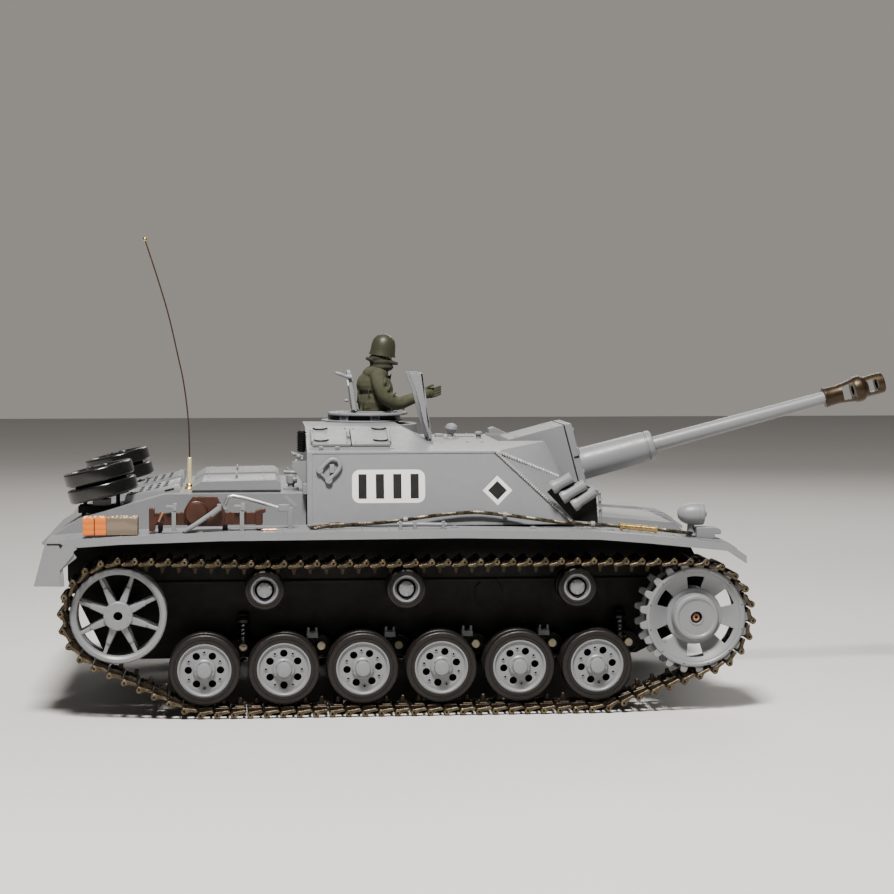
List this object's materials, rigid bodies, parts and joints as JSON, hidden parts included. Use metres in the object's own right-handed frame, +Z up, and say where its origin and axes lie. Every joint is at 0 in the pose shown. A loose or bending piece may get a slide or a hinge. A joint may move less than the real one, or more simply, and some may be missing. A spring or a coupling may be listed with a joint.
{
  "type": "rc assault gun",
  "caption": "Turretless radio controlled tracked model with an elevating casemate gun, sprung road wheels, opening hatches and a standing commander.",
  "frame": {"origin": "middle of the bounding box on the ground", "axes": "+X to the front, +Y to the vehicle's left, +Z up"},
  "size_m": [0.4117, 0.1844, 0.2182],
  "materials": {
    "grey_plastic": "satin moulded plastic with a fine grain",
    "black_plastic": "matt black moulded plastic",
    "track_metal": "dark bronzed metal, rubbed bright on the knuckles",
    "wheel_rubber": "dark rubber tyre on a grey wheel disc",
    "gun_bronze": "dark bronzed metal",
    "figure_olive": "matt painted figure",
    "jack_brown": "satin red-brown plastic",
    "block_wood": "orange end grain and grey-brown sides",
    "brass": "bright brass",
    "steel": "plain steel"
  },
  "bodies": {
    "hull": {"lower_hull": "black_plastic", "upper_hull": "grey_plastic", "casemate": "grey_plastic", "commander_cupola": "grey_plastic", "commander_figure": "figure_olive", "headlamp": "grey_plastic", "jack": "jack_brown", "jack_block": "block_wood", "tow_cable_right": "brass", "antenna": "brass", "battery_pack": "black_plastic", "drive_unit": "steel", "track_right": "track_metal", "smoke_launcher_right": "grey_plastic", "spare_wheel_right": "wheel_rubber", "track_left": "track_metal", "smoke_launcher_left": "grey_plastic", "spare_wheel_left": "wheel_rubber"},
    "gun_cradle": {"gun_cradle": "steel"},
    "gun": {"mantlet": "grey_plastic", "gun_barrel": "grey_plastic", "muzzle_brake": "gun_bronze"},
    "cupola_hatch": {"cupola_hatch": "grey_plastic"},
    "loader_hatch_rear": {"loader_hatch_rear": "grey_plastic"},
    "loader_hatch_front": {"loader_hatch_front": "grey_plastic"},
    "mg_shield": {"mg_shield": "grey_plastic"},
    "sprocket_right": {"drive_sprocket_right": "grey_plastic"},
    "idler_right": {"idler_wheel_right": "grey_plastic"},
    "roller_right_1": {"return_roller_right_1": "wheel_rubber"},
    "roller_right_2": {"return_roller_right_2": "wheel_rubber"},
    "roller_right_3": {"return_roller_right_3": "wheel_rubber"},
    "arm_right_1": {"swing_arm_right_1": "black_plastic"},
    "wheel_right_1": {"road_wheel_right_1": "wheel_rubber"},
    "arm_right_2": {"swing_arm_right_2": "black_plastic"},
    "wheel_right_2": {"road_wheel_right_2": "wheel_rubber"},
    "arm_right_3": {"swing_arm_right_3": "black_plastic"},
    "wheel_right_3": {"road_wheel_right_3": "wheel_rubber"},
    "arm_right_4": {"swing_arm_right_4": "black_plastic"},
    "wheel_right_4": {"road_wheel_right_4": "wheel_rubber"},
    "arm_right_5": {"swing_arm_right_5": "black_plastic"},
    "wheel_right_5": {"road_wheel_right_5": "wheel_rubber"},
    "arm_right_6": {"swing_arm_right_6": "black_plastic"},
    "wheel_right_6": {"road_wheel_right_6": "wheel_rubber"},
    "sprocket_left": {"drive_sprocket_left": "grey_plastic"},
    "idler_left": {"idler_wheel_left": "grey_plastic"},
    "roller_left_1": {"return_roller_left_1": "wheel_rubber"},
    "roller_left_2": {"return_roller_left_2": "wheel_rubber"},
    "roller_left_3": {"return_roller_left_3": "wheel_rubber"},
    "arm_left_1": {"swing_arm_left_1": "black_plastic"},
    "wheel_left_1": {"road_wheel_left_1": "wheel_rubber"},
    "arm_left_2": {"swing_arm_left_2": "black_plastic"},
    "wheel_left_2": {"road_wheel_left_2": "wheel_rubber"},
    "arm_left_3": {"swing_arm_left_3": "black_plastic"},
    "wheel_left_3": {"road_wheel_left_3": "wheel_rubber"},
    "arm_left_4": {"swing_arm_left_4": "black_plastic"},
    "wheel_left_4": {"road_wheel_left_4": "wheel_rubber"},
    "arm_left_5": {"swing_arm_left_5": "black_plastic"},
    "wheel_left_5": {"road_wheel_left_5": "wheel_rubber"},
    "arm_left_6": {"swing_arm_left_6": "black_plastic"},
    "wheel_left_6": {"road_wheel_left_6": "wheel_rubber"}
  },
  "joints": [
    {"name": "gun_traverse", "type": "hinge", "parent": "hull", "child": "gun_cradle", "pos_m": [0.01635, 0, 0.0985], "axis": [0, 0, 1], "range_deg": [-8, 8]},
    {"name": "gun_elevation", "type": "hinge", "parent": "gun_cradle", "child": "gun", "pos_m": [0.01635, 0, 0.0985], "axis": [0, -1, 0], "range_deg": [-17.8, 5.2]},
    {"name": "cupola_hatch_hinge", "type": "hinge", "parent": "hull", "child": "cupola_hatch", "pos_m": [-0.05815, 0.033, 0.1336], "axis": [0, -1, 0], "range_deg": [-4, 35]},
    {"name": "loader_hatch_rear_hinge", "type": "hinge", "parent": "hull", "child": "loader_hatch_rear", "pos_m": [-0.08125, -0.04648, 0.1246], "axis": [0, -0.9641, -0.2656], "range_deg": [0, 100]},
    {"name": "loader_hatch_front_hinge", "type": "hinge", "parent": "hull", "child": "loader_hatch_front", "pos_m": [-0.04545, -0.04648, 0.1246], "axis": [0, 0.9641, 0.2656], "range_deg": [0, 100]},
    {"name": "mg_shield_hinge", "type": "hinge", "parent": "hull", "child": "mg_shield", "pos_m": [-0.02575, -0.031, 0.1232], "axis": [0, 1, 0], "range_deg": [0, 90]},
    {"name": "sprocket_right_spin", "type": "hinge", "parent": "hull", "child": "sprocket_right", "pos_m": [0.09305, -0.0778, 0.0432], "axis": [0, 1, 0], "continuous": true},
    {"name": "idler_right_spin", "type": "hinge", "parent": "hull", "child": "idler_right", "pos_m": [-0.16935, -0.0778, 0.0465], "axis": [0, 1, 0], "continuous": true},
    {"name": "roller_right_1_spin", "type": "hinge", "parent": "hull", "child": "roller_right_1", "pos_m": [-0.10385, -0.0778, 0.0574], "axis": [0, 1, 0], "continuous": true},
    {"name": "roller_right_2_spin", "type": "hinge", "parent": "hull", "child": "roller_right_2", "pos_m": [-0.03975, -0.0778, 0.0574], "axis": [0, 1, 0], "continuous": true},
    {"name": "roller_right_3_spin", "type": "hinge", "parent": "hull", "child": "roller_right_3", "pos_m": [0.03855, -0.0778, 0.0574], "axis": [0, 1, 0], "continuous": true},
    {"name": "arm_right_1_swing", "type": "hinge", "parent": "hull", "child": "arm_right_1", "pos_m": [-0.11355, -0.0778, 0.02915], "axis": [0, 1, 0], "range_deg": [0, 14], "stiffness_Nm_per_rad": 0.05, "springref_deg": -8.59},
    {"name": "wheel_right_1_spin", "type": "hinge", "parent": "arm_right_1", "child": "wheel_right_1", "pos_m": [-0.13105, -0.0778, 0.02135], "axis": [0, 1, 0], "continuous": true},
    {"name": "arm_right_2_swing", "type": "hinge", "parent": "hull", "child": "arm_right_2", "pos_m": [-0.07779, -0.0778, 0.02915], "axis": [0, 1, 0], "range_deg": [0, 14], "stiffness_Nm_per_rad": 0.05, "springref_deg": -8.59},
    {"name": "wheel_right_2_spin", "type": "hinge", "parent": "arm_right_2", "child": "wheel_right_2", "pos_m": [-0.09529, -0.0778, 0.02135], "axis": [0, 1, 0], "continuous": true},
    {"name": "arm_right_3_swing", "type": "hinge", "parent": "hull", "child": "arm_right_3", "pos_m": [-0.04203, -0.0778, 0.02915], "axis": [0, 1, 0], "range_deg": [0, 14], "stiffness_Nm_per_rad": 0.05, "springref_deg": -8.59},
    {"name": "wheel_right_3_spin", "type": "hinge", "parent": "arm_right_3", "child": "wheel_right_3", "pos_m": [-0.05953, -0.0778, 0.02135], "axis": [0, 1, 0], "continuous": true},
    {"name": "arm_right_4_swing", "type": "hinge", "parent": "hull", "child": "arm_right_4", "pos_m": [-0.00627, -0.0778, 0.02915], "axis": [0, 1, 0], "range_deg": [0, 14], "stiffness_Nm_per_rad": 0.05, "springref_deg": -8.59},
    {"name": "wheel_right_4_spin", "type": "hinge", "parent": "arm_right_4", "child": "wheel_right_4", "pos_m": [-0.02377, -0.0778, 0.02135], "axis": [0, 1, 0], "continuous": true},
    {"name": "arm_right_5_swing", "type": "hinge", "parent": "hull", "child": "arm_right_5", "pos_m": [0.02949, -0.0778, 0.02915], "axis": [0, 1, 0], "range_deg": [0, 14], "stiffness_Nm_per_rad": 0.05, "springref_deg": -8.59},
    {"name": "wheel_right_5_spin", "type": "hinge", "parent": "arm_right_5", "child": "wheel_right_5", "pos_m": [0.01199, -0.0778, 0.02135], "axis": [0, 1, 0], "continuous": true},
    {"name": "arm_right_6_swing", "type": "hinge", "parent": "hull", "child": "arm_right_6", "pos_m": [0.06525, -0.0778, 0.02915], "axis": [0, 1, 0], "range_deg": [0, 14], "stiffness_Nm_per_rad": 0.05, "springref_deg": -8.59},
    {"name": "wheel_right_6_spin", "type": "hinge", "parent": "arm_right_6", "child": "wheel_right_6", "pos_m": [0.04775, -0.0778, 0.02135], "axis": [0, 1, 0], "continuous": true},
    {"name": "sprocket_left_spin", "type": "hinge", "parent": "hull", "child": "sprocket_left", "pos_m": [0.09305, 0.0778, 0.0432], "axis": [0, 1, 0], "continuous": true},
    {"name": "idler_left_spin", "type": "hinge", "parent": "hull", "child": "idler_left", "pos_m": [-0.16935, 0.0778, 0.0465], "axis": [0, 1, 0], "continuous": true},
    {"name": "roller_left_1_spin", "type": "hinge", "parent": "hull", "child": "roller_left_1", "pos_m": [-0.10385, 0.0778, 0.0574], "axis": [0, 1, 0], "continuous": true},
    {"name": "roller_left_2_spin", "type": "hinge", "parent": "hull", "child": "roller_left_2", "pos_m": [-0.03975, 0.0778, 0.0574], "axis": [0, 1, 0], "continuous": true},
    {"name": "roller_left_3_spin", "type": "hinge", "parent": "hull", "child": "roller_left_3", "pos_m": [0.03855, 0.0778, 0.0574], "axis": [0, 1, 0], "continuous": true},
    {"name": "arm_left_1_swing", "type": "hinge", "parent": "hull", "child": "arm_left_1", "pos_m": [-0.11355, 0.0778, 0.02915], "axis": [0, 1, 0], "range_deg": [0, 14], "stiffness_Nm_per_rad": 0.05, "springref_deg": -8.59},
    {"name": "wheel_left_1_spin", "type": "hinge", "parent": "arm_left_1", "child": "wheel_left_1", "pos_m": [-0.13105, 0.0778, 0.02135], "axis": [0, 1, 0], "continuous": true},
    {"name": "arm_left_2_swing", "type": "hinge", "parent": "hull", "child": "arm_left_2", "pos_m": [-0.07779, 0.0778, 0.02915], "axis": [0, 1, 0], "range_deg": [0, 14], "stiffness_Nm_per_rad": 0.05, "springref_deg": -8.59},
    {"name": "wheel_left_2_spin", "type": "hinge", "parent": "arm_left_2", "child": "wheel_left_2", "pos_m": [-0.09529, 0.0778, 0.02135], "axis": [0, 1, 0], "continuous": true},
    {"name": "arm_left_3_swing", "type": "hinge", "parent": "hull", "child": "arm_left_3", "pos_m": [-0.04203, 0.0778, 0.02915], "axis": [0, 1, 0], "range_deg": [0, 14], "stiffness_Nm_per_rad": 0.05, "springref_deg": -8.59},
    {"name": "wheel_left_3_spin", "type": "hinge", "parent": "arm_left_3", "child": "wheel_left_3", "pos_m": [-0.05953, 0.0778, 0.02135], "axis": [0, 1, 0], "continuous": true},
    {"name": "arm_left_4_swing", "type": "hinge", "parent": "hull", "child": "arm_left_4", "pos_m": [-0.00627, 0.0778, 0.02915], "axis": [0, 1, 0], "range_deg": [0, 14], "stiffness_Nm_per_rad": 0.05, "springref_deg": -8.59},
    {"name": "wheel_left_4_spin", "type": "hinge", "parent": "arm_left_4", "child": "wheel_left_4", "pos_m": [-0.02377, 0.0778, 0.02135], "axis": [0, 1, 0], "continuous": true},
    {"name": "arm_left_5_swing", "type": "hinge", "parent": "hull", "child": "arm_left_5", "pos_m": [0.02949, 0.0778, 0.02915], "axis": [0, 1, 0], "range_deg": [0, 14], "stiffness_Nm_per_rad": 0.05, "springref_deg": -8.59},
    {"name": "wheel_left_5_spin", "type": "hinge", "parent": "arm_left_5", "child": "wheel_left_5", "pos_m": [0.01199, 0.0778, 0.02135], "axis": [0, 1, 0], "continuous": true},
    {"name": "arm_left_6_swing", "type": "hinge", "parent": "hull", "child": "arm_left_6", "pos_m": [0.06525, 0.0778, 0.02915], "axis": [0, 1, 0], "range_deg": [0, 14], "stiffness_Nm_per_rad": 0.05, "springref_deg": -8.59},
    {"name": "wheel_left_6_spin", "type": "hinge", "parent": "arm_left_6", "child": "wheel_left_6", "pos_m": [0.04775, 0.0778, 0.02135], "axis": [0, 1, 0], "continuous": true}
  ],
  "couplings": [
    {"joint": "idler_right_spin", "follows": "sprocket_right_spin", "ratio": 1.1495},
    {"joint": "roller_right_1_spin", "follows": "sprocket_right_spin", "ratio": 2.7844},
    {"joint": "roller_right_2_spin", "follows": "sprocket_right_spin", "ratio": 2.7844},
    {"joint": "roller_right_3_spin", "follows": "sprocket_right_spin", "ratio": 2.7844},
    {"joint": "wheel_right_1_spin", "follows": "sprocket_right_spin", "ratio": 1.5422},
    {"joint": "wheel_right_2_spin", "follows": "sprocket_right_spin", "ratio": 1.5422},
    {"joint": "wheel_right_3_spin", "follows": "sprocket_right_spin", "ratio": 1.5422},
    {"joint": "wheel_right_4_spin", "follows": "sprocket_right_spin", "ratio": 1.5422},
    {"joint": "wheel_right_5_spin", "follows": "sprocket_right_spin", "ratio": 1.5422},
    {"joint": "wheel_right_6_spin", "follows": "sprocket_right_spin", "ratio": 1.5422},
    {"joint": "idler_left_spin", "follows": "sprocket_left_spin", "ratio": 1.1495},
    {"joint": "roller_left_1_spin", "follows": "sprocket_left_spin", "ratio": 2.7844},
    {"joint": "roller_left_2_spin", "follows": "sprocket_left_spin", "ratio": 2.7844},
    {"joint": "roller_left_3_spin", "follows": "sprocket_left_spin", "ratio": 2.7844},
    {"joint": "wheel_left_1_spin", "follows": "sprocket_left_spin", "ratio": 1.5422},
    {"joint": "wheel_left_2_spin", "follows": "sprocket_left_spin", "ratio": 1.5422},
    {"joint": "wheel_left_3_spin", "follows": "sprocket_left_spin", "ratio": 1.5422},
    {"joint": "wheel_left_4_spin", "follows": "sprocket_left_spin", "ratio": 1.5422},
    {"joint": "wheel_left_5_spin", "follows": "sprocket_left_spin", "ratio": 1.5422},
    {"joint": "wheel_left_6_spin", "follows": "sprocket_left_spin", "ratio": 1.5422}
  ]
}
